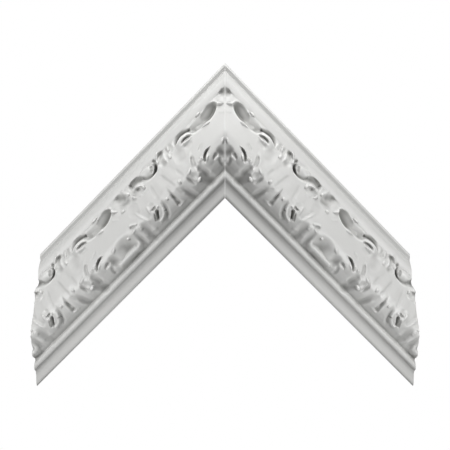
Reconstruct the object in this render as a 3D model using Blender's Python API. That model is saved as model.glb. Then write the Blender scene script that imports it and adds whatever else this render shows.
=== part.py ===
# A mitred corner of carved moulding: two lengths of cast white moulding that
# meet at ninety degrees, with the point of the corner upwards.
#
# Metres, +Z up. The back of the moulding lies in the plane Y = 0 and the face
# looks towards -Y. The origin is on the back, half way along the mitre line.
# The carving is drawn in millimetres on the left length: "run" is the distance
# along its outer edge from the mitred point, "across" the distance from that
# outer edge, and "rise" the height of the face above the back.

import math

import bmesh
import bpy
import numpy as np

MM = 0.001

# Driving sizes of the corner, in millimetres
FACE_WIDTH = 100.0
REACH = 205.0
JOINT_GAP = 0.3
REPEAT = 159.0

# Facets of the carved face: steps along each length, and across the carving
STEPS_ALONG = 104
STEPS_ACROSS_CARVING = 22
CARVING_START = 16.6
CARVING_END = 79.6

# The moulding's section: distance across the face, height above the back
RIM = ((0.0, 8.2), (0.8, 9.4), (1.8, 9.8), (3.8, 8.7), (5.6, 8.4))
STEP_TO_FASCIA = ((6.6, 11.0), (7.6, 12.4), (8.6, 13.2), (9.8, 14.6), (11.4, 15.8), (16.6, 17.2))
BANK = ((18.2, 17.4), (20.0, 19.2), (22.0, 21.8), (25.0, 24.4), (28.0, 26.2), (31.0, 27.8))
SWELL = ((36.0, 30.6), (41.0, 33.8), (46.0, 37.8), (51.0, 41.4), (55.0, 43.2), (59.0, 43.9))
FALL = ((63.0, 43.4), (67.0, 42.0), (71.0, 39.8), (75.0, 37.2), (79.0, 35.4))
ASTRAGAL = ((80.4, 37.4), (82.2, 38.8), (84.0, 39.0), (85.6, 38.2), (87.0, 36.0), (88.2, 35.3))
SIGHT_EDGE = ((90.5, 34.9), (94.0, 35.2), (97.0, 35.5), (99.0, 35.5), (100.0, 35.0))
SECTION = RIM + STEP_TO_FASCIA + BANK + SWELL + FALL + ASTRAGAL + SIGHT_EDGE

# Width of the rounding where forms join, of the wall under a lapping edge and of that edge's lip
JOIN = 0.9
LAP_WALL = 1.2
LAP_LIP = 2.5

# White lacquered casting
WHITE = (0.80, 0.80, 0.79, 1.0)
ROUGHNESS = 0.32


def section_height(across):
    """Height of the plain moulding above its back: a smooth curve through the section's points."""
    x = np.array([point[0] for point in SECTION])
    y = np.array([point[1] for point in SECTION])
    step = np.diff(x)
    rise = np.diff(y) / step
    same_way = rise[:-1] * rise[1:] > 0
    slope = np.concatenate(([rise[0]], np.zeros(len(x) - 2), [rise[-1]]))
    slope[1:-1][same_way] = (2 * rise[:-1] * rise[1:])[same_way] / (rise[:-1] + rise[1:])[same_way]
    i = np.clip(np.searchsorted(x, across) - 1, 0, len(x) - 2)
    s = np.clip((across - x[i]) / step[i], 0, 1)
    start = (2 * s**3 - 3 * s**2 + 1) * y[i] + (s**3 - 2 * s**2 + s) * step[i] * slope[i]
    end = (3 * s**2 - 2 * s**3) * y[i + 1] + (s**3 - s**2) * step[i] * slope[i + 1]
    return start + end


def eased(s):
    """Nought to one with soft ends."""
    s = np.clip(s, 0, 1)
    return (3 - 2 * s) * s**2


def tapered(along, fade):
    """How full a form is along its line, 0 to 1, when it fades over the given shares at its ends."""
    return eased(along / max(fade[0], 0.01)) * eased((1 - along) / max(fade[1], 0.01))


def joined(body, ground):
    """The higher of two surfaces, rounded where they meet."""
    gap = np.clip(1 - np.abs(body - ground) / JOIN, 0, 1)
    return np.maximum(body, ground) + JOIN / 4 * gap**2


def bowed_line(start, end, bow, count=14):
    """Points on a line from start to end that bows to its right by the given distance."""
    start = np.array(start)
    end = np.array(end)
    along = end - start
    right = np.array((-along[1], along[0])) / np.hypot(*along)
    s = np.linspace(0, 1, count)[:, None]
    return start + along * s + right * bow * 4 * s * (1 - s)


class CarvedFace:
    """The face of one length, as heights at places (run, across). The pattern repeats along it."""

    def __init__(self, run, across):
        self.run = run
        self.across = across
        self.rise = section_height(across)

    def from_repeat(self, run):
        """Distance along the length from the nearest repeat of a place."""
        return (self.run - run + REPEAT / 2) % REPEAT - REPEAT / 2

    def near_line(self, start, end, bow, reach):
        """Which places lie near a bowed line, how far to its right, and how far along it, 0 to 1."""
        line = bowed_line(start, end, bow)
        middle = line[:, 0].mean()
        run = self.from_repeat(middle) + middle
        low = line.min(0) - reach
        top = line.max(0) + reach
        near = (run > low[0]) & (run < top[0]) & (self.across > low[1]) & (self.across < top[1])
        place = np.stack((run[near], self.across[near]), -1)
        distance = np.full(len(place), 1e3)
        side = np.ones(len(place))
        along = np.zeros(len(place))
        for k in range(len(line) - 1):
            leg = line[k + 1] - line[k]
            s = np.clip((place - line[k]) @ leg / (leg @ leg), 0, 1)
            offset = place - line[k] - s[:, None] * leg
            away = np.hypot(*offset.T)
            nearer = away < distance
            distance[nearer] = away[nearer]
            side[nearer] = np.sign(leg[0] * offset[:, 1] - leg[1] * offset[:, 0])[nearer]
            along[nearer] = (k + s[nearer]) / (len(line) - 1)
        return near, distance * side, along

    def ridge(self, start, end, bow=0.0, wide=2.0, high=1.5, fade=(0.3, 0.3), crown=1.5):
        """A rounded ridge along a bowed line, which narrows and sinks at its ends."""
        near, away, along = self.near_line(start, end, bow, wide)
        swell = tapered(along, fade)
        width = wide * (0.45 + 0.55 * swell)
        self.rise[near] += high * swell * np.clip(1 - (away / width) ** 2, 0, 1) ** crown

    def groove(self, start, end, bow=0.0, wide=2.5, deep=2.5, fade=(0.3, 0.3), crown=1.0):
        """A groove along a bowed line. A low crown gives it steep walls."""
        self.ridge(start, end, bow, wide, -deep, fade, crown)

    def lap(self, start, end, bow=0.0, reach=5.0, deep=2.0, lip=0.4, fade=(0.3, 0.3)):
        """One form lapping over the next: a drop on the right of a line, easing out over the reach."""
        near, away, along = self.near_line(start, end, bow, reach)
        swell = tapered(along, fade)
        wall = eased(away / LAP_WALL)
        drop = lip * (1 - wall) - deep * wall * np.clip(1 - away / reach, 0, 1) ** 1.3
        edge = lip * np.clip(1 + away / LAP_LIP, 0, 1) ** 2
        self.rise[near] += swell * np.where(away > 0, drop, edge)

    def rib(self, start, end, bow, wide, tops, fade=(0.0, 0.0), side=4.0, sunk=8.0):
        """A rounded rib on the ground of the carving, with its crest height at each end. It is lower by side
        at the edges of its width, and by sunk where it has faded."""
        near, away, along = self.near_line(start, end, bow, wide * 1.5)
        crest = tops[0] + (tops[1] - tops[0]) * along
        swell = tapered(along, fade)
        body = crest - side * (away / (wide * (0.4 + 0.6 * swell))) ** 2 - sunk * (1 - swell)
        self.rise[near] = joined(body, self.rise[near])

    def oval(self, at, size, turn):
        """How far out each place is in an oval with half-widths size, turned by degrees: 0 to 1."""
        run = self.from_repeat(at[0])
        across = self.across - at[1]
        cos = math.cos(math.radians(turn))
        sin = math.sin(math.radians(turn))
        a = (run * cos + across * sin) / size[0]
        b = (across * cos - run * sin) / size[1]
        return np.clip(a**2 + b**2, 0, 1)

    def mound(self, at, size, high, turn=0.0, crown=1.5):
        """An oval swelling. A low crown has a full, steep edge."""
        self.rise += high * (1 - self.oval(at, size, turn)) ** crown

    def hollow(self, at, size, deep, turn=0.0, crown=1.3):
        """An oval hollow."""
        self.mound(at, size, -deep, turn, crown)

    def dome(self, at, size, top, side, turn=0.0):
        """A full, round form on the ground of the carving, with the heights of its top and its side."""
        oval = self.oval(at, size, turn)
        body = top - side * (1 - np.sqrt(1 - oval))
        self.rise = np.where(oval < 1, joined(body, self.rise), self.rise)

    def wedge(self, point, foot, half_foot, deep, closes=3.0, full_half=2.2):
        """A cut that opens from a point into a wide foot and closes beyond it. It is shallower where it is
        narrower than full_half to each side."""
        run = self.from_repeat(foot[0]) + foot[0]
        s = np.clip((self.across - point[1]) / (foot[1] - point[1]), 0, 1)
        middle = point[0] + (foot[0] - point[0]) * s
        half = np.maximum(half_foot * s, 0.3)
        x = np.clip(1 - ((run - middle) / half) ** 2, 0, 1)
        closing = np.clip((foot[1] + closes - self.across) / closes, 0, 1)
        self.rise -= deep * np.minimum(1, half / full_half) * x * closing * (self.across > point[1])


def carve_folds(face):
    """Broad, low folds and faint veins over the smooth middle."""
    face.groove((99.0, 30.0), (93.0, 50.0), bow=-2.0, wide=7.0, deep=1.4)
    face.ridge((108.0, 30.0), (103.0, 56.0), bow=-1.0, wide=7.0, high=0.8)
    face.ridge((124.0, 32.0), (121.0, 58.0), bow=-1.0, wide=7.0, high=0.8)
    face.ridge((139.0, 33.0), (138.0, 56.0), wide=6.0, high=0.8)
    face.ridge((156.0, 36.0), (155.0, 56.0), bow=1.0, wide=7.0, high=0.8)
    face.groove((172.0, 32.0), (183.0, 56.0), bow=1.0, wide=7.0, deep=1.4)
    face.groove((132.6, 33.0), (127.0, 60.0), bow=0.8, wide=2.2, deep=0.7)
    face.groove((146.0, 33.0), (150.0, 58.0), bow=-0.4, wide=2.4, deep=0.7)
    face.groove((115.0, 42.0), (113.6, 56.0), bow=-0.4, wide=2.2, deep=0.6)
    face.groove((76.0, 43.3), (86.5, 47.4), bow=0.3, wide=1.8, deep=1.0)


def carve_cartouche(face):
    """The smooth shield, and the sunk panel with its frame along the shield's foot."""
    face.mound((213.0, 44.0), (30.0, 18.0), high=0.8)
    face.hollow((206.0, 65.0), (17.0, 13.0), deep=4.6, turn=-4.0, crown=2.0)
    face.hollow((226.4, 66.0), (8.0, 8.0), deep=5.0, turn=8.0, crown=1.8)
    face.rib((196.6, 60.0), (194.8, 68.4), bow=1.2, wide=3.2, tops=(42.6, 43.2), fade=(0.35, 0.0))
    face.rib((194.8, 68.4), (203.6, 72.2), bow=2.0, wide=3.2, tops=(43.2, 43.0))
    face.rib((203.6, 72.2), (231.0, 72.4), bow=0.0, wide=3.2, tops=(43.0, 41.4), fade=(0.0, 0.15))
    face.ridge((216.6, 54.6), (223.4, 58.6), bow=0.9, wide=1.9, high=2.0)
    face.mound((200.0, 58.6), (1.7, 1.5), high=1.4)
    face.groove((230.5, 61.6), (239.5, 65.6), bow=-0.8, wide=2.2, deep=2.6)
    face.mound((236.6, 66.6), (3.6, 3.0), high=2.4, turn=20.0)
    face.groove((231.6, 67.0), (234.6, 76.5), bow=-2.4, wide=2.6, deep=2.4, crown=1.3)


def carve_pocket(face):
    """The deep pocket and the shallow trough that leads out of it."""
    face.hollow((207.8, 24.4), (11.6, 5.8), deep=8.4, turn=24.0, crown=0.9)
    face.hollow((203.0, 21.0), (8.0, 3.4), deep=2.6, turn=4.0)
    face.hollow((225.0, 24.6), (14.0, 6.8), deep=5.2, turn=-2.0, crown=1.1)
    face.lap((231.4, 26.8), (213.6, 33.2), bow=0.9, reach=7.0, deep=2.4, lip=1.6, fade=(0.3, 0.15))
    face.ridge((213.8, 17.9), (220.8, 17.4), bow=1.3, wide=1.7, high=2.0)


def carve_nested_curls(face):
    """Three arches one inside the other, each with a thin lit lip and a drop outside it."""
    face.dome((88.5, 31.0), (12.6, 8.8), top=29.4, side=6.0)
    face.lap((102.6, 30.0), (76.6, 25.4), bow=5.0, reach=4.8, deep=9.4, lip=1.2, fade=(0.35, 0.06))
    face.hollow((85.4, 28.4), (6.8, 2.8), deep=3.6, turn=-8.0)
    face.lap((92.6, 30.6), (79.0, 31.8), bow=3.4, reach=3.6, deep=5.0, lip=1.4, fade=(0.2, 0.15))
    face.lap((93.0, 36.8), (80.6, 37.6), bow=1.6, reach=4.4, deep=1.6, lip=0.4)


def carve_leaf_tips(face):
    """The small turned tips between the curls and the ball."""
    face.groove((101.6, 18.0), (103.2, 28.0), wide=2.8, deep=2.2, crown=1.3)
    face.ridge((106.4, 17.6), (107.4, 25.6), wide=2.0, high=2.0)
    face.groove((109.2, 18.5), (109.8, 25.6), wide=1.8, deep=1.6)
    face.ridge((110.6, 25.6), (111.4, 32.0), wide=1.7, high=1.6)
    face.groove((111.6, 18.4), (122.8, 27.0), bow=-1.6, wide=3.2, deep=4.0, fade=(0.3, 0.6), crown=1.3)
    face.ridge((110.6, 18.8), (116.0, 32.6), bow=-2.4, wide=1.9, high=2.0)
    face.ridge((114.8, 15.6), (124.2, 23.0), bow=-1.6, wide=1.9, high=2.8)
    face.mound((124.6, 24.6), (1.8, 1.8), high=2.0)
    face.hollow((120.4, 28.8), (4.8, 5.4), deep=2.2, crown=1.6)


def carve_ball_volute(face):
    """The ball, the deep cut that parts it from the leaf beside it, and its one turned line."""
    face.dome((138.4, 25.2), (10.6, 7.6), top=28.8, side=7.0)
    face.hollow((138.4, 23.4), (8.0, 5.4), deep=2.2)
    face.groove((127.0, 17.6), (139.8, 29.6), bow=4.6, wide=2.7, deep=5.6, fade=(0.25, 0.3), crown=1.1)
    face.groove((130.6, 19.8), (136.8, 28.0), bow=1.6, wide=2.0, deep=3.0, crown=1.2)
    face.groove((149.0, 20.0), (142.4, 33.0), bow=-1.2, wide=3.2, deep=2.4, crown=1.5)


def carve_eye_scroll(face):
    """The scroll beside the ball: a soft crescent outside it, a ring and a sunk eye."""
    face.dome((158.0, 29.4), (9.6, 6.4), top=28.8, side=5.0)
    face.groove((147.6, 25.6), (164.8, 24.0), bow=-3.6, wide=4.0, deep=4.4, fade=(0.25, 0.1), crown=1.2)
    face.lap((165.0, 29.6), (152.0, 31.6), bow=3.6, reach=3.0, deep=2.2, lip=1.7, fade=(0.2, 0.2))
    face.hollow((158.4, 30.6), (3.0, 2.4), deep=2.8, turn=-20.0)
    face.mound((152.4, 32.6), (1.6, 2.6), high=1.8)
    face.ridge((152.8, 35.2), (162.4, 35.2), bow=1.4, wide=1.9, high=0.8)
    face.groove((165.0, 20.6), (165.6, 27.4), wide=1.8, deep=2.2)
    face.ridge((168.4, 30.0), (165.4, 36.4), wide=2.0, high=1.5)
    face.mound((170.2, 25.4), (2.0, 2.0), high=1.8)


def carve_lobed_leaf(face):
    """The leaf with three soft lobes, between the scroll and the pocket."""
    face.hollow((184.6, 26.0), (16.4, 9.4), deep=4.4, turn=-4.0, crown=1.3)
    face.mound((174.0, 25.4), (4.8, 6.0), high=1.2, turn=16.0)
    face.mound((181.8, 24.4), (7.0, 4.4), high=1.8, turn=-30.0)
    face.mound((190.6, 26.0), (5.4, 6.4), high=1.8, turn=-16.0)
    face.groove((174.0, 27.0), (188.0, 19.0), bow=-1.2, wide=3.0, deep=1.8, crown=1.4)
    face.groove((171.0, 32.0), (187.6, 26.6), bow=0.7, wide=2.7, deep=1.7, crown=1.4)
    face.ridge((197.4, 22.6), (192.4, 31.0), bow=-1.2, wide=2.1, high=2.2)
    face.mound((186.0, 34.6), (2.8, 2.2), high=2.0)
    face.ridge((193.6, 38.4), (202.4, 31.4), bow=0.4, wide=1.9, high=1.0)


def carve_slot_and_petal(face):
    """The sharp crescent slot, its lit lip, and the broad petal below it."""
    face.mound((86.4, 68.0), (6.4, 12.0), high=1.8, crown=1.3)
    face.groove((76.2, 52.0), (88.8, 60.6), bow=-1.9, wide=2.0, deep=4.6, fade=(0.25, 0.25), crown=1.0)
    face.ridge((78.6, 55.4), (87.8, 62.0), bow=-1.5, wide=2.0, high=2.2)
    face.mound((88.6, 55.0), (1.6, 2.6), high=1.6)
    face.mound((92.2, 55.6), (1.6, 2.6), high=1.4)
    face.groove((92.0, 46.0), (98.8, 59.0), bow=-1.4, wide=2.4, deep=2.2, crown=1.3)
    face.groove((98.6, 57.0), (94.6, 72.0), bow=1.4, wide=4.0, deep=2.4, crown=1.5)
    face.hollow((97.2, 71.6), (7.0, 10.6), deep=4.0, crown=1.8)


def carve_curled_petal(face):
    """The knob whose edge rolls round a sunk eye."""
    face.dome((105.8, 61.6), (6.6, 8.6), top=44.6, side=5.0)
    face.ridge((101.6, 56.4), (101.6, 66.6), bow=1.0, wide=2.0, high=1.6)
    face.ridge((100.6, 65.2), (109.2, 67.4), bow=1.8, wide=2.4, high=2.8)
    face.hollow((105.6, 61.0), (3.4, 4.4), deep=2.2)
    face.hollow((111.0, 62.6), (2.8, 6.6), deep=3.2, crown=1.5)
    face.ridge((103.4, 53.6), (111.4, 55.4), bow=1.0, wide=1.9, high=1.8)


def carve_ribs(face):
    """The fan of ribs below the ball, the grooves between them and the dark wedge."""
    face.ridge((116.6, 46.0), (113.0, 74.0), bow=-1.8, wide=3.4, high=1.6)
    face.mound((121.0, 55.6), (1.8, 2.8), high=1.6)
    face.hollow((120.8, 71.6), (4.6, 10.6), deep=3.8, turn=16.0, crown=1.8)
    face.ridge((131.4, 45.0), (124.6, 76.0), bow=-0.8, wide=3.4, high=1.6)
    face.groove((128.2, 56.0), (126.2, 68.0), bow=0.4, wide=1.6, deep=1.2)
    face.wedge((134.4, 49.0), (136.4, 71.0), half_foot=3.4, deep=3.0)
    face.hollow((136.0, 59.6), (1.8, 6.4), deep=1.6)
    face.hollow((136.6, 69.6), (2.6, 3.0), deep=1.0)
    face.ridge((139.4, 48.0), (148.6, 78.0), bow=0.5, wide=3.4, high=1.5, fade=(0.3, 0.2))
    face.mound((142.0, 58.8), (1.8, 2.6), high=1.7)
    face.groove((146.8, 52.0), (155.0, 71.0), bow=0.8, wide=3.4, deep=2.8, fade=(0.4, 0.2), crown=1.5)
    face.hollow((157.0, 74.0), (10.0, 5.6), deep=3.4, turn=16.0, crown=1.6)


def carve_shell(face):
    """The shell: a rolled rim round a deep slot and an eye, and fine lines beside it."""
    face.mound((162.0, 58.0), (11.0, 12.0), high=1.4, crown=1.3)
    face.rib((150.2, 54.0), (153.2, 65.0), bow=0.8, wide=2.6, tops=(43.4, 44.4), fade=(0.4, 0.0))
    face.rib((153.2, 65.0), (166.4, 68.6), bow=2.6, wide=2.8, tops=(44.4, 43.6), fade=(0.0, 0.25))
    face.groove((156.2, 58.2), (165.4, 68.2), bow=-0.9, wide=2.7, deep=6.2, fade=(0.3, 0.2), crown=1.1)
    face.ridge((160.0, 60.4), (165.2, 66.6), bow=-0.6, wide=0.9, high=2.4)
    face.groove((155.8, 53.4), (163.0, 54.4), bow=2.0, wide=1.7, deep=3.0, crown=1.2)
    face.hollow((159.0, 52.4), (4.4, 3.6), deep=1.2)
    face.mound((155.0, 57.4), (1.8, 1.9), high=1.6)
    face.mound((163.2, 54.6), (1.5, 3.2), high=1.6)
    for k in range(6):
        top = (165.4 + 2.0 * k, 46.0 - 0.6 * k)
        foot = (165.4 + 1.0 * k, 62.0)
        face.groove(top, foot, bow=-0.6, wide=1.3, deep=1.3)
    face.ridge((178.4, 42.0), (170.6, 65.0), bow=0.8, wide=1.9, high=2.0)
    face.hollow((178.6, 68.6), (6.8, 12.0), deep=3.8, crown=1.8)
    face.ridge((181.8, 56.6), (191.4, 50.4), bow=-1.4, wide=1.9, high=1.8, fade=(0.2, 0.1))
    face.groove((184.6, 55.2), (192.0, 52.6), bow=0.6, wide=1.7, deep=1.8)
    face.ridge((183.6, 57.0), (183.0, 63.6), bow=0.6, wide=1.9, high=1.8)
    face.ridge((186.6, 57.4), (193.4, 59.4), bow=-0.8, wide=1.7, high=1.4)
    face.ridge((186.2, 60.0), (185.8, 76.0), wide=3.4, high=1.0)
    face.hollow((190.8, 68.0), (4.6, 9.0), deep=3.2, crown=1.8)


def carve(run, across):
    """Heights of the carved face above the back, in millimetres."""
    face = CarvedFace(run, across)
    carve_folds(face)
    carve_cartouche(face)
    carve_lobed_leaf(face)
    carve_pocket(face)
    carve_nested_curls(face)
    carve_leaf_tips(face)
    carve_ball_volute(face)
    carve_eye_scroll(face)
    carve_slot_and_petal(face)
    carve_curled_petal(face)
    carve_ribs(face)
    carve_shell(face)
    return face.rise


def rows_across():
    """Places of the facet rows: the section's own points, and even rows over the carving."""
    plain = [point[0] for point in SECTION if not CARVING_START < point[0] < CARVING_END]
    steps = range(1, STEPS_ACROSS_CARVING)
    pitch = (CARVING_END - CARVING_START) / STEPS_ACROSS_CARVING
    return np.array(sorted(plain + [CARVING_START + pitch * k for k in steps]))


def facet_rise(run, across):
    """Heights of the facets' corners: the mean of the carving about each, so fine cuts make no spikes."""
    along_pitch = REACH / STEPS_ALONG * math.sqrt(2)
    across_pitch = (CARVING_END - CARVING_START) / STEPS_ACROSS_CARVING
    carved = (across > CARVING_START) & (across < CARVING_END)
    shares = (-0.3, 0.0, 0.3)
    total = np.zeros(len(run))
    for a in shares:
        for b in shares:
            total += carve(run + a * along_pitch, across + b * across_pitch * carved)
    return total / len(shares) ** 2


def make_material(name):
    material = bpy.data.materials.new(name)
    material.use_nodes = True
    shader = material.node_tree.nodes["Principled BSDF"]
    shader.inputs["Base Color"].default_value = WHITE
    shader.inputs["Roughness"].default_value = ROUGHNESS
    shader.inputs["Metallic"].default_value = 0.0
    return material


def make_length(name, side, collection):
    """One mitred length: a carved grid for its face, drawn back to a flat back."""
    rows = rows_across()
    columns = np.linspace(JOINT_GAP / 2, REACH, STEPS_ALONG + 1)
    bm = bmesh.new()
    bmesh.ops.create_grid(bm, x_segments=STEPS_ALONG, y_segments=len(rows) - 1, size=1.0)
    bm.verts.ensure_lookup_table()
    column = [round((vertex.co.x + 1) / 2 * STEPS_ALONG) for vertex in bm.verts]
    row = [round((vertex.co.y + 1) / 2 * (len(rows) - 1)) for vertex in bm.verts]

    # Columns stand in planes that are parallel to the mitre, so both ends are cut flat
    out = columns[column]
    across = rows[row]
    run = across + out * math.sqrt(2)
    rise = facet_rise(run, across)
    mitre_top = FACE_WIDTH / math.sqrt(2)
    up = mitre_top - out - across * math.sqrt(2)
    for vertex, x, y, z in zip(bm.verts, side * out, -rise, up):
        vertex.co = (x * MM, y * MM, z * MM)

    rim = [edge for edge in bm.edges if edge.is_boundary]
    drawn = bmesh.ops.extrude_edge_only(bm, edges=rim)["geom"]
    back = [item for item in drawn if isinstance(item, bmesh.types.BMVert)]
    for vertex in back:
        vertex.co.y = 0.0
    bmesh.ops.contextual_create(bm, geom=[edge for edge in bm.edges if edge.is_boundary])
    bmesh.ops.recalc_face_normals(bm, faces=bm.faces)

    # The plain mouldings and the sides are straight along the run, so their facets join into one
    flat = math.radians(0.02)
    bmesh.ops.dissolve_limit(bm, angle_limit=flat, verts=bm.verts, edges=bm.edges)
    mesh = bpy.data.meshes.new(name)
    bm.to_mesh(mesh)
    bm.free()
    mesh.materials.append(make_material(name + "_white"))
    length = bpy.data.objects.new(name, mesh)
    collection.objects.link(length)
    return length


def main():
    for thing in list(bpy.data.objects):
        bpy.data.objects.remove(thing, do_unlink=True)
    collection = bpy.data.collections.new("cornice_moulding_corner")
    bpy.context.scene.collection.children.link(collection)
    make_length("left_length", -1, collection)
    make_length("right_length", 1, collection)


main()
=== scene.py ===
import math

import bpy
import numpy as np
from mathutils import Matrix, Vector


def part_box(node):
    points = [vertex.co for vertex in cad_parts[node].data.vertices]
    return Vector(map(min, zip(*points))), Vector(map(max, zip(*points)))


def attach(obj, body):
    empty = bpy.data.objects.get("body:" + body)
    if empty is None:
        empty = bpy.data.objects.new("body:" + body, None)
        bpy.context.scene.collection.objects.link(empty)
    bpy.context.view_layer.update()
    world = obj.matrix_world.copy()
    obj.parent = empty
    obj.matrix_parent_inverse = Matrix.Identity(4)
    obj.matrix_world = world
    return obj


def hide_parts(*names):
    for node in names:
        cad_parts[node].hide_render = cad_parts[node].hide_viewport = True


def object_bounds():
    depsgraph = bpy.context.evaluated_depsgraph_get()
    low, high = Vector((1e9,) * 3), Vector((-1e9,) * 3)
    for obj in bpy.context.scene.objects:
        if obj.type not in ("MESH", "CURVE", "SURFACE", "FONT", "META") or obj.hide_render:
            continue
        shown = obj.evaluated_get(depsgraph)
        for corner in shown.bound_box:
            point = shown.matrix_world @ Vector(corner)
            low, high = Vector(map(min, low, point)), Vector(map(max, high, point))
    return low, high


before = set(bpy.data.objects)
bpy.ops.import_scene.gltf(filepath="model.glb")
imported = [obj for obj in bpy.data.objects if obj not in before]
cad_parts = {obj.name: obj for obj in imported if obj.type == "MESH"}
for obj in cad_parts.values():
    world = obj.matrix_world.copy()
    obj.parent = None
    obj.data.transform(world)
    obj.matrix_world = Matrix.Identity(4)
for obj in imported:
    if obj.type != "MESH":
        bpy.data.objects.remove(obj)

# A mitred corner of carved white moulding. Metres, +Z up, the back in the plane Y = 0, the face towards -Y.
# The carving is drawn in millimetres on the left length: "run" is the distance along its outer edge from the
# mitred point, "across" the distance from that edge, and "rise" the height of the face above the back.

cad_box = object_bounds()
MM = 0.001

# Driving sizes, in millimetres
FACE_WIDTH = 100.0
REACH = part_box("right_length")[1][0] / MM
JOINT_GAP = 0.3
REPEAT = 159.0

# Columns along each length and rows across it
STEPS_ALONG = 400
STEPS_ACROSS = 200

# The moulding's section: distance across the face, height above the back
RIM = ((0.0, 8.6), (0.8, 9.4), (1.8, 9.8), (3.8, 9.3), (5.6, 9.2))
STEP_TO_FASCIA = ((6.6, 11.0), (7.6, 12.4), (8.6, 13.2), (9.8, 14.6), (11.4, 15.8), (16.6, 17.2))
BANK = ((18.2, 17.4), (20.0, 19.2), (22.0, 21.8), (25.0, 24.4), (28.0, 26.2), (31.0, 27.8))
SWELL = ((36.0, 30.8), (41.0, 34.2), (46.0, 38.0), (50.0, 40.7), (54.0, 42.4), (59.0, 43.5))
FALL = ((63.5, 43.3), (68.0, 42.5), (72.0, 40.7), (75.5, 37.9), (79.0, 35.4))
ASTRAGAL = ((80.4, 37.4), (82.2, 38.8), (84.0, 39.0), (85.6, 38.2), (87.0, 36.0), (88.2, 35.3))
SIGHT_EDGE = ((90.5, 34.9), (94.0, 35.2), (97.0, 35.5), (98.4, 35.2), (100.0, 33.8))
SECTION = RIM + STEP_TO_FASCIA + BANK + SWELL + FALL + ASTRAGAL + SIGHT_EDGE

# Height over which forms round into each other, and a bowl into the ground round it
JOIN = 0.9
BOWL_JOIN = 4.0

# Width of the wall under a lapping edge and of that edge's lip
LAP_WALL = 1.2
LAP_LIP = 2.5

# Where a bowl's wall would turn endless, in half-widths squared: just past its rim
BOWL_WALL = 1.04

# The plain ribs of the fan: heights at the top and foot, share of fade at the ends and fall to the sides
FAN_RIB = {"tops": (43.8, 41.4), "fade": (0.4, 0.4), "side": 2.8}

# Painted shade in the hollows: grid steps looked over for close cuts and for wide hollows, depth where a wide
# one starts to tell, depth that counts as full, and grid steps of softening
CUT_REACH = 9
CUT_DEPTH = 3.5
HOLLOW_REACH = 24
HOLLOW_START = 0.6
HOLLOW_DEPTH = 6.0
PAINTED_SHADE_SOFT = 3

# Painted highlight on proud edges: grid steps looked over, height where they start to tell, and height from
# there to full
EDGE_REACH = 5
EDGE_START = 0.15
EDGE_HEIGHT = 1.1

# Faces that meet at less than this, in degrees, are shaded as one surface
SMOOTH_ANGLE = 50.0


def section_height(across):
    """Height of the plain moulding above its back: a smooth curve through the section's points."""
    x = np.array([point[0] for point in SECTION])
    y = np.array([point[1] for point in SECTION])
    step = np.diff(x)
    rise = np.diff(y) / step
    same_way = rise[:-1] * rise[1:] > 0
    slope = np.concatenate(([rise[0]], np.zeros(len(x) - 2), [rise[-1]]))
    slope[1:-1][same_way] = (2 * rise[:-1] * rise[1:])[same_way] / (rise[:-1] + rise[1:])[same_way]
    i = np.clip(np.searchsorted(x, across) - 1, 0, len(x) - 2)
    s = np.clip((across - x[i]) / step[i], 0, 1)
    start = (2 * s**3 - 3 * s**2 + 1) * y[i] + (s**3 - 2 * s**2 + s) * step[i] * slope[i]
    end = (3 * s**2 - 2 * s**3) * y[i + 1] + (s**3 - s**2) * step[i] * slope[i + 1]
    return start + end


def eased(s):
    """Nought to one with soft ends."""
    s = np.clip(s, 0, 1)
    return (3 - 2 * s) * s**2


def tapered(along, fade):
    """How full a form is along its line, 0 to 1, when it fades over the given shares at its ends."""
    return eased(along / max(fade[0], 0.01)) * eased((1 - along) / max(fade[1], 0.01))


def joined(body, ground, width=JOIN):
    """The higher of two surfaces, rounded where they meet."""
    gap = np.clip(1 - np.abs(body - ground) / width, 0, 1)
    return np.maximum(body, ground) + width / 4 * gap**2


def bowed_line(start, end, bow, count=14):
    """Points on a line from start to end that bows to its right by the given distance."""
    start = np.array(start)
    end = np.array(end)
    along = end - start
    right = np.array((-along[1], along[0])) / np.hypot(*along)
    s = np.linspace(0, 1, count)[:, None]
    return start + along * s + right * bow * 4 * s * (1 - s)


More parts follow.
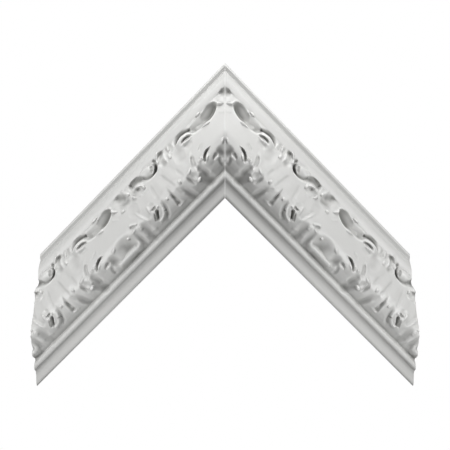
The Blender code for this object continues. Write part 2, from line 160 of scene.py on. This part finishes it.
class CarvedFace:
    """The face of one length, as heights at places (run, across). The pattern repeats along it."""

    def __init__(self, run, across):
        self.run = run
        self.across = across
        self.rise = section_height(across)

    def from_repeat(self, run):
        """Distance along the length from the nearest repeat of a place."""
        return (self.run - run + REPEAT / 2) % REPEAT - REPEAT / 2

    def near_line(self, start, end, bow, reach):
        """Which places lie near a bowed line, how far to its right, and how far along it, 0 to 1."""
        line = bowed_line(start, end, bow)
        middle = line[:, 0].mean()
        run = self.from_repeat(middle) + middle
        low = line.min(0) - reach
        top = line.max(0) + reach
        near = (run > low[0]) & (run < top[0]) & (self.across > low[1]) & (self.across < top[1])
        place = np.stack((run[near], self.across[near]), -1)
        distance = np.full(len(place), 1e3)
        side = np.ones(len(place))
        along = np.zeros(len(place))
        for k in range(len(line) - 1):
            leg = line[k + 1] - line[k]
            s = np.clip((place - line[k]) @ leg / (leg @ leg), 0, 1)
            offset = place - line[k] - s[:, None] * leg
            away = np.hypot(*offset.T)
            nearer = away < distance
            distance[nearer] = away[nearer]
            side[nearer] = np.sign(leg[0] * offset[:, 1] - leg[1] * offset[:, 0])[nearer]
            along[nearer] = (k + s[nearer]) / (len(line) - 1)
        return near, distance * side, along

    def ridge(self, start, end, bow=0.0, wide=2.0, high=1.5, fade=(0.3, 0.3), crown=1.5):
        """A rounded ridge along a bowed line, which narrows and sinks at its ends."""
        near, away, along = self.near_line(start, end, bow, wide)
        swell = tapered(along, fade)
        width = wide * (0.45 + 0.55 * swell)
        self.rise[near] += high * swell * np.clip(1 - (away / width) ** 2, 0, 1) ** crown

    def groove(self, start, end, bow=0.0, wide=2.5, deep=2.5, fade=(0.3, 0.3), crown=1.0):
        """A groove along a bowed line. A low crown gives it steep walls."""
        self.ridge(start, end, bow, wide, -deep, fade, crown)

    def lap(self, start, end, bow=0.0, reach=5.0, deep=2.0, lip=0.4, fade=(0.3, 0.3)):
        """One form lapping over the next: a drop on the right of a line, easing out over the reach."""
        near, away, along = self.near_line(start, end, bow, reach)
        swell = tapered(along, fade)
        wall = eased(away / LAP_WALL)
        drop = lip * (1 - wall) - deep * wall * np.clip(1 - away / reach, 0, 1) ** 1.3
        edge = lip * np.clip(1 + away / LAP_LIP, 0, 1) ** 2
        self.rise[near] += swell * np.where(away > 0, drop, edge)

    def rib(self, start, end, bow, wide, tops, fade=(0.0, 0.0), side=4.0, sunk=8.0):
        """A rounded rib on the ground of the carving, with its crest height at each end. It is lower by side
        at the edges of its width, and by sunk where it has faded."""
        near, away, along = self.near_line(start, end, bow, wide * 1.5)
        crest = tops[0] + (tops[1] - tops[0]) * along
        swell = tapered(along, fade)
        body = crest - side * (away / (wide * (0.4 + 0.6 * swell))) ** 2 - sunk * (1 - swell)
        self.rise[near] = joined(body, self.rise[near])

    def oval(self, at, size, turn):
        """How far out each place is in an oval with half-widths size, turned by degrees: 0 to 1."""
        run = self.from_repeat(at[0])
        across = self.across - at[1]
        cos = math.cos(math.radians(turn))
        sin = math.sin(math.radians(turn))
        a = (run * cos + across * sin) / size[0]
        b = (across * cos - run * sin) / size[1]
        return np.clip(a**2 + b**2, 0, 1)

    def mound(self, at, size, high, turn=0.0, crown=1.5):
        """An oval swelling. A low crown has a full, steep edge."""
        self.rise += high * (1 - self.oval(at, size, turn)) ** crown

    def hollow(self, at, size, deep, turn=0.0, crown=1.3):
        """An oval hollow."""
        self.mound(at, size, -deep, turn, crown)

    def dome(self, at, size, top, side, turn=0.0):
        """A full, round form on the ground of the carving, with the heights of its top and its side."""
        oval = self.oval(at, size, turn)
        body = top - side * (1 - np.sqrt(1 - oval))
        self.rise = np.where(oval < 1, joined(body, self.rise), self.rise)

    def bowl(self, at, size, floor, side, turn=0.0, lean=0.0, tip=0.0):
        """An oval cut down to a height at its middle and rising by side towards steep walls. Its floor falls
        by lean for each millimetre across and by tip for each along."""
        oval = self.oval(at, size, turn)
        body = floor + side * oval**2 / (BOWL_WALL - oval)
        body -= lean * (self.across - at[1]) + tip * self.from_repeat(at[0])
        self.rise = np.where(oval < 1, -joined(-body, -self.rise, BOWL_JOIN), self.rise)

    def wedge(self, point, foot, half_foot, deep, closes=3.0, full_half=2.2):
        """A cut that opens from a point into a wide foot and closes beyond it. It is shallower where it is
        narrower than full_half to each side."""
        run = self.from_repeat(foot[0]) + foot[0]
        s = np.clip((self.across - point[1]) / (foot[1] - point[1]), 0, 1)
        middle = point[0] + (foot[0] - point[0]) * s
        half = np.maximum(half_foot * s, 0.3)
        x = np.clip(1 - ((run - middle) / half) ** 2, 0, 1)
        closing = np.clip((foot[1] + closes - self.across) / closes, 0, 1)
        self.rise -= deep * np.minimum(1, half / full_half) * x * closing * (self.across > point[1])


def carve_folds(face):
    """Broad, low folds and faint veins over the smooth middle."""
    face.groove((98.0, 28.0), (106.0, 45.0), bow=-1.0, wide=7.0, deep=1.2)
    face.ridge((90.0, 40.0), (101.0, 52.0), bow=-1.4, wide=2.2, high=0.8)
    face.ridge((112.0, 30.0), (106.0, 52.0), bow=-1.0, wide=7.0, high=0.6)
    face.ridge((124.0, 32.0), (121.0, 56.0), bow=-1.0, wide=7.0, high=0.8)
    face.ridge((139.0, 33.0), (138.0, 56.0), wide=6.0, high=0.6)
    face.ridge((156.0, 37.0), (155.0, 52.0), bow=1.0, wide=7.0, high=0.6)
    face.groove((174.0, 32.0), (181.0, 50.0), bow=1.0, wide=7.0, deep=1.0)
    face.groove((132.6, 33.0), (127.0, 60.0), bow=0.8, wide=2.2, deep=0.7)
    face.groove((146.0, 33.0), (150.0, 58.0), bow=-0.4, wide=2.4, deep=0.7)
    face.groove((115.0, 42.0), (113.6, 56.0), bow=-0.4, wide=2.2, deep=0.6)
    face.groove((76.0, 43.3), (86.5, 47.4), bow=0.3, wide=1.8, deep=1.0)


def carve_cartouche(face):
    """The smooth shield, and the sunk panel with its frame along the shield's foot."""
    face.mound((213.0, 44.0), (30.0, 18.0), high=0.8)
    face.hollow((207.0, 66.0), (18.0, 17.0), deep=5.6, turn=-5.0, crown=3.2)
    face.hollow((227.0, 66.0), (8.0, 9.0), deep=4.6, turn=8.0, crown=2.2)
    face.rib((196.0, 58.0), (193.8, 68.0), bow=0.8, wide=4.2, tops=(41.6, 42.4), fade=(0.6, 0.0), side=2.4)
    face.rib((193.8, 68.0), (203.0, 72.0), bow=2.2, wide=3.6, tops=(42.6, 42.6), side=3.4)
    face.rib((199.6, 71.8), (231.0, 72.2), bow=0.2, wide=3.6, tops=(42.6, 41.6), fade=(0.0, 0.15), side=3.4)
    face.dome((219.6, 57.0), (3.6, 1.8), top=45.0, side=2.0, turn=28.0)
    face.dome((200.0, 58.8), (1.5, 1.4), top=44.8, side=1.8)
    face.groove((230.5, 61.6), (239.5, 65.6), bow=-0.8, wide=2.4, deep=2.4)
    face.dome((236.0, 65.2), (3.6, 2.0), top=43.6, side=2.4, turn=4.0)
    face.groove((231.6, 67.0), (234.6, 76.5), bow=-2.4, wide=2.6, deep=2.0, crown=1.5)


def carve_pocket(face):
    """The deep pocket and the shallow trough that leads out of it, with its lit lip."""
    face.bowl((223.0, 25.0), (17.6, 7.2), floor=18.6, side=3.0, turn=-1.0, lean=0.08)
    face.bowl((209.0, 24.4), (15.6, 7.8), floor=15.0, side=6.0, turn=12.0, lean=0.32, tip=-0.27)
    face.ridge((213.4, 33.2), (231.4, 27.4), bow=0.4, wide=2.6, high=2.4, fade=(0.2, 0.15))
    face.dome((217.6, 18.2), (3.4, 1.5), top=20.4, side=2.0)


def carve_nested_curls(face):
    """Three arches one inside the other, each with a thin lit lip and a drop outside it."""
    face.dome((88.5, 31.0), (12.6, 8.8), top=29.4, side=6.0)
    face.lap((103.0, 30.0), (76.4, 25.4), bow=5.0, reach=5.2, deep=9.0, lip=0.5, fade=(0.4, 0.04))
    face.hollow((85.0, 28.2), (6.8, 2.6), deep=4.0, turn=-6.0)
    face.lap((92.6, 30.8), (79.4, 31.6), bow=3.0, reach=3.4, deep=4.2, lip=1.0, fade=(0.2, 0.15))
    face.groove((82.0, 33.0), (94.0, 35.0), bow=0.4, wide=4.0, deep=1.0, crown=1.6)


def carve_leaf_tips(face):
    """The small turned tips between the curls and the ball."""
    face.groove((101.8, 17.6), (104.2, 28.0), bow=-0.6, wide=3.4, deep=2.4, fade=(0.5, 0.3), crown=1.3)
    face.ridge((106.2, 17.0), (108.4, 24.8), bow=0.8, wide=1.9, high=2.2)
    face.groove((108.8, 18.0), (109.6, 24.6), wide=1.7, deep=1.6)
    face.ridge((110.2, 25.2), (110.8, 32.0), wide=1.9, high=2.0)
    face.groove((111.6, 17.6), (124.0, 25.6), bow=-0.8, wide=3.0, deep=3.4, fade=(0.3, 0.3), crown=1.3)
    face.ridge((110.8, 20.0), (115.8, 32.4), bow=-2.4, wide=1.8, high=1.5)
    face.ridge((115.4, 14.6), (123.6, 20.8), bow=-0.5, wide=1.7, high=2.8)
    face.dome((124.8, 24.4), (1.8, 2.0), top=26.2, side=2.0)
    face.hollow((120.6, 29.0), (4.8, 5.6), deep=2.4, crown=1.6)


def carve_ball_volute(face):
    """The ball, a disc sunk towards the deep cut that parts it from the leaf, and its one turned line."""
    face.bowl((137.4, 24.0), (12.0, 7.4), floor=16.6, side=4.0, turn=4.0, lean=0.2)
    face.dome((141.0, 24.0), (11.0, 7.0), top=22.6, side=4.6, turn=2.0)
    face.groove((126.6, 16.8), (138.4, 29.8), bow=4.6, wide=2.4, deep=4.6, fade=(0.16, 0.3), crown=1.1)
    face.groove((132.2, 19.6), (137.2, 27.6), bow=1.2, wide=1.8, deep=2.6, crown=1.2)


def carve_eye_scroll(face):
    """The scroll beside the ball: a soft crescent outside it, a ring and a sunk eye."""
    face.dome((158.0, 29.6), (9.6, 6.2), top=28.8, side=5.0)
    face.groove((144.4, 31.4), (165.2, 23.4), bow=-5.8, wide=4.3, deep=5.4, fade=(0.45, 0.1), crown=1.3)
    face.lap((163.8, 28.6), (152.4, 30.4), bow=3.2, reach=2.8, deep=2.0, lip=2.0, fade=(0.15, 0.2))
    face.hollow((157.8, 29.9), (2.9, 2.2), deep=3.0, turn=-16.0)
    face.dome((152.2, 32.0), (1.5, 2.6), top=31.2, side=2.2, turn=-6.0)
    face.ridge((153.2, 35.0), (163.0, 34.8), bow=1.2, wide=1.9, high=0.8)
    face.groove((163.8, 17.4), (165.4, 27.4), bow=0.3, wide=1.9, deep=2.4)
    face.dome((166.6, 33.4), (1.5, 3.8), top=31.4, side=2.2, turn=20.0)
    face.dome((170.2, 25.4), (1.7, 1.9), top=27.4, side=2.0)


def carve_lobed_leaf(face):
    """The leaf with three soft lobes, between the scroll and the pocket."""
    face.hollow((184.6, 26.6), (16.4, 9.4), deep=4.4, turn=-4.0, crown=1.7)
    face.mound((181.8, 25.0), (8.0, 4.4), high=1.4, turn=-28.0)
    face.mound((190.6, 26.0), (5.4, 6.4), high=1.6, turn=-16.0)
    face.ridge((169.6, 26.0), (175.8, 15.4), bow=-0.4, wide=1.9, high=1.4)
    face.groove((173.4, 27.0), (189.0, 20.4), bow=-1.2, wide=5.6, deep=4.2, fade=(0.3, 0.4), crown=1.6)
    face.groove((171.4, 31.6), (187.0, 26.4), bow=0.7, wide=3.2, deep=1.8, crown=1.6)
    face.dome((194.2, 27.2), (1.9, 5.0), top=27.8, side=3.0, turn=38.0)
    face.dome((185.8, 34.6), (2.4, 2.1), top=31.9, side=2.4)
    face.ridge((193.6, 38.4), (202.4, 31.4), bow=0.4, wide=1.9, high=0.6)


def carve_slot_and_petal(face):
    """The sharp crescent slot, its lit lip, and the broad petal below it."""
    face.mound((84.0, 60.4), (7.0, 6.6), high=1.4, turn=30.0)
    face.rib((90.6, 54.0), (89.6, 77.0), bow=-1.0, wide=5.0, tops=(43.8, 41.4), fade=(0.4, 0.3), side=2.8)
    face.groove((71.6, 53.0), (88.6, 61.0), bow=-3.6, wide=1.6, deep=5.0, fade=(0.35, 0.14), crown=1.0)
    face.ridge((79.6, 56.6), (87.0, 61.0), bow=-0.8, wide=1.7, high=1.2)
    face.dome((88.8, 55.0), (1.4, 2.4), top=44.4, side=2.0, turn=-10.0)
    face.dome((92.2, 55.6), (1.4, 2.6), top=44.2, side=2.0, turn=-8.0)
    face.groove((92.0, 44.6), (99.0, 59.0), bow=-1.6, wide=2.4, deep=2.4, crown=1.3)
    face.groove((98.8, 56.0), (94.6, 74.0), bow=1.8, wide=4.4, deep=2.2, crown=1.6)
    face.hollow((97.0, 73.0), (8.0, 12.0), deep=3.8, crown=2.0)


def carve_curled_petal(face):
    """The knob whose edge rolls round a sunk eye."""
    face.dome((105.6, 61.2), (6.6, 8.4), top=44.6, side=4.0)
    face.ridge((100.6, 56.6), (102.4, 66.6), bow=1.2, wide=1.9, high=1.4)
    face.dome((104.6, 68.0), (2.9, 1.7), top=46.6, side=3.2, turn=20.0)
    face.hollow((106.0, 61.6), (3.2, 4.6), deep=1.8)
    face.hollow((111.2, 63.0), (3.0, 6.8), deep=2.8, turn=8.0, crown=1.5)
    face.ridge((102.6, 52.6), (111.6, 55.8), bow=1.2, wide=1.9, high=1.8)


def carve_ribs(face):
    """The fan of ribs below the ball, the grooves between them and the dark wedge."""
    face.rib((117.2, 52.0), (112.6, 76.0), bow=-1.6, wide=4.6, **FAN_RIB)
    face.dome((120.8, 55.6), (1.5, 2.6), top=45.0, side=2.4)
    face.hollow((121.2, 71.0), (5.4, 12.0), deep=3.6, turn=14.0, crown=2.0)
    face.rib((131.0, 50.0), (127.2, 77.0), bow=-0.8, wide=4.6, **FAN_RIB)
    face.groove((128.2, 56.0), (126.2, 68.0), bow=0.4, wide=1.6, deep=0.8)
    face.wedge((134.4, 49.0), (136.4, 70.0), half_foot=3.2, deep=2.8)
    face.hollow((136.2, 61.6), (2.0, 5.4), deep=1.6)
    face.hollow((136.4, 69.6), (2.4, 2.6), deep=0.8)
    face.ridge((129.0, 73.4), (140.6, 73.0), bow=-0.6, wide=2.4, high=0.8)
    face.rib((139.8, 50.0), (147.4, 78.0), bow=0.9, wide=4.4, **FAN_RIB)
    face.dome((142.2, 58.4), (1.5, 1.9), top=45.4, side=2.2)
    face.groove((146.0, 52.0), (158.0, 75.0), bow=1.8, wide=4.2, deep=3.0, fade=(0.5, 0.3), crown=1.7)


def carve_shell(face):
    """The shell: a rolled rim round a deep slot and an eye, and fine lines beside it."""
    face.mound((162.0, 58.0), (11.0, 12.0), high=1.2, crown=1.3)
    face.rib((150.0, 53.0), (153.2, 64.6), bow=0.6, wide=2.8, tops=(43.0, 44.6), fade=(0.5, 0.0))
    face.rib((153.2, 64.6), (166.0, 68.8), bow=2.4, wide=2.8, tops=(44.6, 44.0), fade=(0.0, 0.2))
    face.groove((156.2, 58.4), (164.4, 68.0), bow=-0.4, wide=1.9, deep=5.6, fade=(0.2, 0.2), crown=1.0)
    face.groove((160.8, 59.0), (166.6, 67.8), bow=-0.3, wide=1.2, deep=2.8, fade=(0.3, 0.2), crown=1.0)
    face.ridge((159.4, 59.0), (165.8, 68.0), bow=-0.4, wide=1.1, high=1.6)
    face.groove((155.8, 53.8), (162.4, 54.2), bow=2.2, wide=1.6, deep=3.4, crown=1.0)
    face.hollow((159.2, 51.8), (4.4, 4.0), deep=1.4)
    face.dome((155.0, 57.2), (1.6, 1.6), top=45.6, side=2.2)
    face.dome((163.4, 54.6), (1.2, 3.8), top=45.2, side=2.4, turn=-4.0)
    for k in range(6):
        top = (165.4 + 2.0 * k, 46.0 - 0.6 * k)
        foot = (165.4 + 1.0 * k, 62.0)
        face.groove(top, foot, bow=-0.6, wide=1.3, deep=0.9)
    face.ridge((179.0, 42.0), (170.6, 66.0), bow=1.2, wide=1.6, high=1.4)
    face.hollow((179.0, 69.0), (7.0, 14.0), deep=3.6, crown=2.0)
    face.ridge((182.4, 55.6), (191.0, 50.2), bow=-1.2, wide=1.7, high=1.4, fade=(0.2, 0.1))
    face.groove((185.0, 54.6), (191.6, 52.2), bow=0.5, wide=1.6, deep=1.4)
    face.ridge((183.6, 57.0), (183.0, 63.6), bow=0.8, wide=1.9, high=1.6)
    face.ridge((186.6, 57.4), (193.4, 59.4), bow=-0.8, wide=1.7, high=1.0)
    face.rib((185.8, 60.0), (185.4, 77.0), bow=0.0, wide=4.0, tops=(42.8, 40.8), fade=(0.4, 0.4), side=2.8)
    face.rib((171.4, 60.0), (174.4, 78.0), bow=0.4, wide=4.4, tops=(43.4, 41.0), fade=(0.4, 0.4), side=2.8)
    face.hollow((190.4, 68.4), (4.6, 11.0), deep=3.0, crown=2.0)


def carve(run, across):
    """Heights of the carved face above the back, in millimetres."""
    face = CarvedFace(run, across)
    carve_folds(face)
    carve_cartouche(face)
    carve_lobed_leaf(face)
    carve_pocket(face)
    carve_nested_curls(face)
    carve_leaf_tips(face)
    carve_ball_volute(face)
    carve_eye_scroll(face)
    carve_slot_and_petal(face)
    carve_curled_petal(face)
    carve_ribs(face)
    carve_shell(face)
    return face.rise


def linear(hex_colour):
    """An sRGB hex colour as linear red, green, blue and alpha."""
    parts = [int(hex_colour[k:k + 2], 16) / 255 for k in (1, 3, 5)]
    return tuple(c / 12.92 if c <= 0.04045 else ((c + 0.055) / 1.055) ** 2.4 for c in parts) + (1.0,)


def add_node(tree, kind, settings=(), links=()):
    """Adds a node. Settings name an input or a property; links are (output socket, input name)."""
    node = tree.nodes.new(kind)
    for name, value in dict(settings).items():
        if name in node.inputs:
            node.inputs[name].default_value = value
        else:
            setattr(node, name, value)
    for source, name in links:
        tree.links.new(source, node.inputs[name])
    return node


def smoothed(values, reach):
    """A grid of values, each the mean of those within reach."""
    weights = np.hanning(2 * reach + 3)[1:-1]
    weights /= weights.sum()
    for axis, size in enumerate(values.shape):
        padded = np.pad(values, [(reach, reach) if k == axis else (0, 0) for k in (0, 1)], mode="edge")
        values = sum(w * np.take(padded, np.arange(k, k + size), axis) for k, w in enumerate(weights))
    return values


def recess_shade_share(rise):
    """How far each place lies down in the carving, from 0 on the open face to 1 in the deepest cuts: the
    share of painted shade there.
    """
    cut = np.clip((smoothed(rise, CUT_REACH) - rise) / CUT_DEPTH, 0, 1)
    hollow = np.clip((smoothed(rise, HOLLOW_REACH) - rise - HOLLOW_START) / HOLLOW_DEPTH, 0, 1)
    both = np.maximum(cut, hollow) + np.minimum(cut, hollow) / 2
    return np.clip(smoothed(both, PAINTED_SHADE_SOFT), 0, 1)


def painted_edge_highlight(rise):
    """How far each place stands out of the carving close around it, 0 to 1: the share of painted highlight
    there.
    """
    above = smoothed(rise - smoothed(rise, EDGE_REACH), 1)
    return np.clip((above - EDGE_START) / EDGE_HEIGHT, 0, 1)


def white_lacquer():
    """Rigid foam casting, sprayed with a white gloss lacquer: an even white with a soft sheen, faintly uneven
    over a few centimetres, with a very slight orange peel. Its colour carries painted shade, much greyer in
    the hollows, and a painted highlight, whiter on the proud edges."""
    patches = 40 * MM
    orange_peel = 3.5 * MM
    peel_height = 0.05 * MM
    material = bpy.data.materials.new("white_lacquer")
    material.use_nodes = True
    tree = material.node_tree
    shader = tree.nodes["Principled BSDF"]
    shader.inputs["Roughness"].default_value = 0.36
    shader.inputs["IOR"].default_value = 1.48
    place = add_node(tree, "ShaderNodeTexCoord").outputs["Object"]
    cloud = add_node(tree, "ShaderNodeTexNoise", {"Scale": 1 / patches, "Detail": 3.0}, [(place, "Vector")])
    tint = add_node(tree, "ShaderNodeMix", {"data_type": "RGBA"}, [(cloud.outputs["Fac"], "Factor")])
    tint.inputs["A"].default_value = linear("#d2d2d0")
    tint.inputs["B"].default_value = linear("#dadad8")
    colour = tint.outputs["Result"]
    # Painted highlight, whiter on proud edges, and painted shade, much greyer in the hollows, mixed into the
    # base colour
    for kind, shade in (("painted_edge_highlight", "#f4f4f2"), ("painted_recess_shade", "#80807d")):
        share = add_node(tree, "ShaderNodeAttribute", {"attribute_name": kind}).outputs["Fac"]
        mixed = add_node(tree, "ShaderNodeMix", {"data_type": "RGBA"}, [(share, "Factor"), (colour, "A")])
        mixed.inputs["B"].default_value = linear(shade)
        colour = mixed.outputs["Result"]
    tree.links.new(colour, shader.inputs["Base Color"])
    fine = {"Scale": 1 / orange_peel, "Detail": 2.0}
    peel = add_node(tree, "ShaderNodeTexNoise", fine, [(place, "Vector")])
    slight = {"Strength": 0.05, "Distance": peel_height}
    bump = add_node(tree, "ShaderNodeBump", slight, [(peel.outputs["Fac"], "Height")])
    tree.links.new(bump.outputs["Normal"], shader.inputs["Normal"])
    return material


def paint_shade_and_highlight(mesh, rise):
    """Gives the carved face its painted shade in the hollows and its painted highlight on proud edges. The
    back, sides and ends keep 0.
    """
    points = np.empty(len(mesh.loops), np.int32)
    mesh.loops.foreach_get("vertex_index", points)
    face_corners = 4 * STEPS_ALONG * STEPS_ACROSS
    for shape, kind in ((recess_shade_share, "painted_recess_shade"), (painted_edge_highlight, "painted_edge_highlight")):
        values = np.zeros(len(points))
        values[:face_corners] = shape(rise).ravel()[points[:face_corners]]
        mesh.attributes.new(kind, "FLOAT", "CORNER").data.foreach_set("value", values)


def one_length(name, side, material):
    """One mitred length: a grid lifted to the carving, with its border drawn back to a flat back. Side is -1
    for the left length and 1 for the right."""
    bpy.ops.object.select_all(action="DESELECT")
    bpy.ops.mesh.primitive_grid_add(x_subdivisions=STEPS_ALONG, y_subdivisions=STEPS_ACROSS, size=2)
    length = bpy.context.object
    length.name = name
    mesh = length.data
    grid = np.empty(len(mesh.vertices) * 3)
    mesh.vertices.foreach_get("co", grid)
    grid = grid.reshape(-1, 3)
    out = JOINT_GAP / 2 + (REACH - JOINT_GAP / 2) * (grid[:, 0] + 1) / 2
    across = FACE_WIDTH * (grid[:, 1] + 1) / 2
    rise = np.minimum(carve(across + out * math.sqrt(2), across), -cad_box[0][1] / MM)
    up = FACE_WIDTH / math.sqrt(2) - out - across * math.sqrt(2)
    placed = np.stack((side * out, -rise, up), -1) * MM
    mesh.vertices.foreach_set("co", placed.ravel())

    bpy.ops.object.mode_set(mode="EDIT")
    bpy.ops.mesh.select_mode(type="EDGE")
    bpy.ops.mesh.select_all(action="SELECT")
    bpy.ops.mesh.region_to_loop()
    bpy.ops.mesh.mark_sharp()
    bpy.ops.mesh.extrude_edges_move()
    bpy.ops.transform.resize(value=(1, 0, 1), center_override=(0, 0, 0))
    bpy.ops.mesh.edge_face_add()
    bpy.ops.mesh.select_all(action="SELECT")
    bpy.ops.mesh.normals_make_consistent(inside=False)
    bpy.ops.object.mode_set(mode="OBJECT")
    bpy.ops.object.shade_smooth_by_angle(angle=math.radians(SMOOTH_ANGLE))
    paint_shade_and_highlight(mesh, rise.reshape(STEPS_ACROSS + 1, STEPS_ALONG + 1))
    mesh.materials.append(material)
    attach(length, "root")
    return length


# Round soft boxes: the point they face, distance from it, degrees off the face and round from the right,
# diameter and watts. The left length has its own set, which is mirrored for the right one, and both have the
# shared ones, the last of which is behind the corner.
OWN_BOXES = (((-0.10, 0.0, -0.12), 1.2, 30.0, 155.0, 0.6, 5.6),
             ((-0.10, 0.0, -0.15), 0.35, 65.0, 90.0, 0.18, 0.23),
             ((-0.18, 0.0, -0.25), 0.35, 35.0, 150.0, 0.18, 0.34))
SHARED_BOXES = (((0.0, 0.0, -0.12), 1.2, 80.0, 90.0, 0.5, 4.4),
                ((0.0, 0.0, -0.05), 0.35, 65.0, 90.0, 0.18, 0.14),
                ((0.0, 0.0, -0.05), 0.35, 65.0, 270.0, 0.18, 0.18),
                ((0.0, 0.0, -0.10), 1.2, 175.0, 90.0, 1.0, 9.0))


def soft_box(side, faces, distance, off_face, round_from_right, size, watts):
    """A round soft box, out of sight. Side -1 mirrors it."""
    off = math.radians(off_face)
    turn = math.radians(round_from_right)
    light = bpy.data.lights.new("soft_box", "AREA")
    light.shape = "DISK"
    light.size = size
    light.energy = watts
    lamp = bpy.data.objects.new("soft_box", light)
    lamp.visible_camera = False
    bpy.context.scene.collection.objects.link(lamp)
    away = Vector((side * math.sin(off) * math.cos(turn), -math.cos(off), math.sin(off) * math.sin(turn)))
    lamp.location = Vector((side * faces[0], faces[1], faces[2])) + away * distance
    lamp.rotation_euler = away.to_track_quat("Z", "Y").to_euler()
    return lamp


# The floor, and how bright the white room is as a light and as seen behind the corner
FLOOR_SIZE = 1.5
FLOOR_AT = (0.0, -0.1, -0.9)
ROOM_GLOW = 0.03
ROOM_SEEN = 1.0


def studio(left, right):
    """Pale floor well below the hung corner, a white room and the soft boxes."""
    bpy.ops.mesh.primitive_plane_add(size=FLOOR_SIZE, location=FLOOR_AT)
    floor = bpy.context.object
    floor.name = "floor"
    pale = bpy.data.materials.new("pale_floor")
    pale.use_nodes = True
    pale.node_tree.nodes["Principled BSDF"].inputs["Base Color"].default_value = linear("#f2f2f0")
    pale.node_tree.nodes["Principled BSDF"].inputs["Roughness"].default_value = 0.7
    floor.data.materials.append(pale)

    world = bpy.data.worlds.new("white_room")
    bpy.context.scene.world = world
    world.use_nodes = True
    tree = world.node_tree
    seen = add_node(tree, "ShaderNodeLightPath").outputs["Is Camera Ray"]
    strength = add_node(tree, "ShaderNodeMix", {"data_type": "FLOAT"}, [(seen, "Factor")])
    strength.inputs["A"].default_value = ROOM_GLOW
    strength.inputs["B"].default_value = ROOM_SEEN
    background = tree.nodes["Background"]
    background.inputs["Color"].default_value = (1, 1, 1, 1)
    tree.links.new(strength.outputs["Result"], background.inputs["Strength"])

    for box in SHARED_BOXES:
        soft_box(1, *box)
    for side, length in ((1, left), (-1, right)):
        lit = bpy.data.collections.new(length.name + "_lit")
        lit.objects.link(length)
        for box in OWN_BOXES:
            soft_box(side, *box).light_linking.receiver_collection = lit


def camera():
    """The photo's view: close, straight on, and a little above the middle of the corner."""
    distance = 515 * MM
    pitch = math.radians(6.7)
    target = Vector((0, 0, -102.8 * MM))
    lens = bpy.data.cameras.new("camera")
    lens.sensor_width = 36
    lens.lens = 36.77
    eye = bpy.data.objects.new("camera", lens)
    bpy.context.scene.collection.objects.link(eye)
    eye.location = target + Vector((0, -math.cos(pitch), math.sin(pitch))) * distance
    eye.rotation_euler = (math.radians(90) - pitch, 0, 0)
    bpy.context.scene.camera = eye


bpy.context.scene.view_settings.view_transform = "Standard"
camera()
lacquer = white_lacquer()
left = one_length("carved_left_length", -1, lacquer)
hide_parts("left_length")
right = one_length("carved_right_length", 1, lacquer)
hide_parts("right_length")
studio(left, right)
